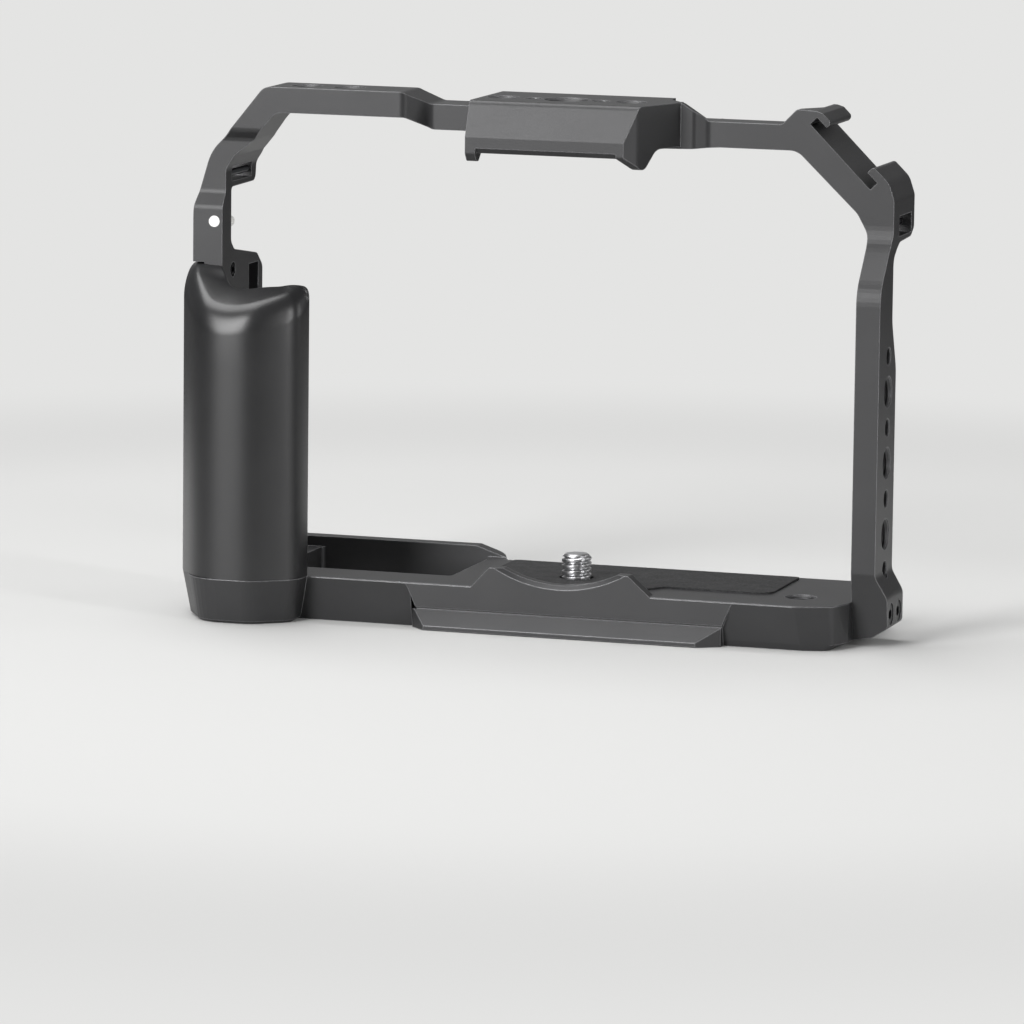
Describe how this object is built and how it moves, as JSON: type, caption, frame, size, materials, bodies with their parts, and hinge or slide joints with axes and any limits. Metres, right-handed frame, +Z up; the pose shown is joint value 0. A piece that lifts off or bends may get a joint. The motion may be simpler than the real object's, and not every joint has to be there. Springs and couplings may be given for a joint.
{
  "type": "camera cage",
  "caption": "Black aluminium camera cage with a moulded side grip, a captive camera screw, threaded top and side, a dovetail base and a cold shoe set at 45 degrees.",
  "frame": {"origin": "on the camera screw's axis, in the plane of the base plate's flat bottom", "axes": "+X to the right seen from the lens side, +Y towards the back of the camera, +Z up along the camera screw"},
  "size_m": [0.1552, 0.0547, 0.113],
  "materials": {
    "black_anodised": "bead-blasted, hard black anodised aluminium with a satin sheen",
    "grip_coat": "moulded grip with a fine satin coat",
    "grip_liner": "soft black rubber",
    "pad_rubber": "fine-grained black rubber",
    "brass": "turned brass",
    "black_steel": "black oxide on steel",
    "bright_steel": "turned stainless steel",
    "spring_steel": "stamped spring steel",
    "nylon": "natural nylon",
    "dark_steel": "drawn steel rod",
    "white_plastic": "white moulded plastic"
  },
  "bodies": {
    "cage": {"base_plate": "black_anodised", "upper_frame": "black_anodised", "grip_shell": "grip_coat", "grip_liner": "grip_liner", "grip_inserts": "brass", "grip_screws": "black_steel", "base_pad": "pad_rubber", "top_pad": "pad_rubber", "left_side_pad": "pad_rubber", "right_side_pad": "pad_rubber", "left_joint_screws": "black_steel", "right_joint_screws": "black_steel", "left_dowel": "dark_steel", "right_dowel": "dark_steel", "left_strap_bar": "dark_steel", "right_strap_bar": "dark_steel", "post_plug": "white_plastic"},
    "captive_ring": {"retaining_ring": "spring_steel", "screw_washer": "nylon"},
    "screw": {"camera_screw": "bright_steel"}
  },
  "joints": [
    {"name": "screw_lift", "type": "slide", "parent": "cage", "child": "captive_ring", "axis": [0, 0, -1], "range_m": [0, 0.0016]},
    {"name": "screw_turn", "type": "hinge", "parent": "captive_ring", "child": "screw", "pos_m": [0, 0, 0], "axis": [0, 0, 1], "continuous": true}
  ]
}
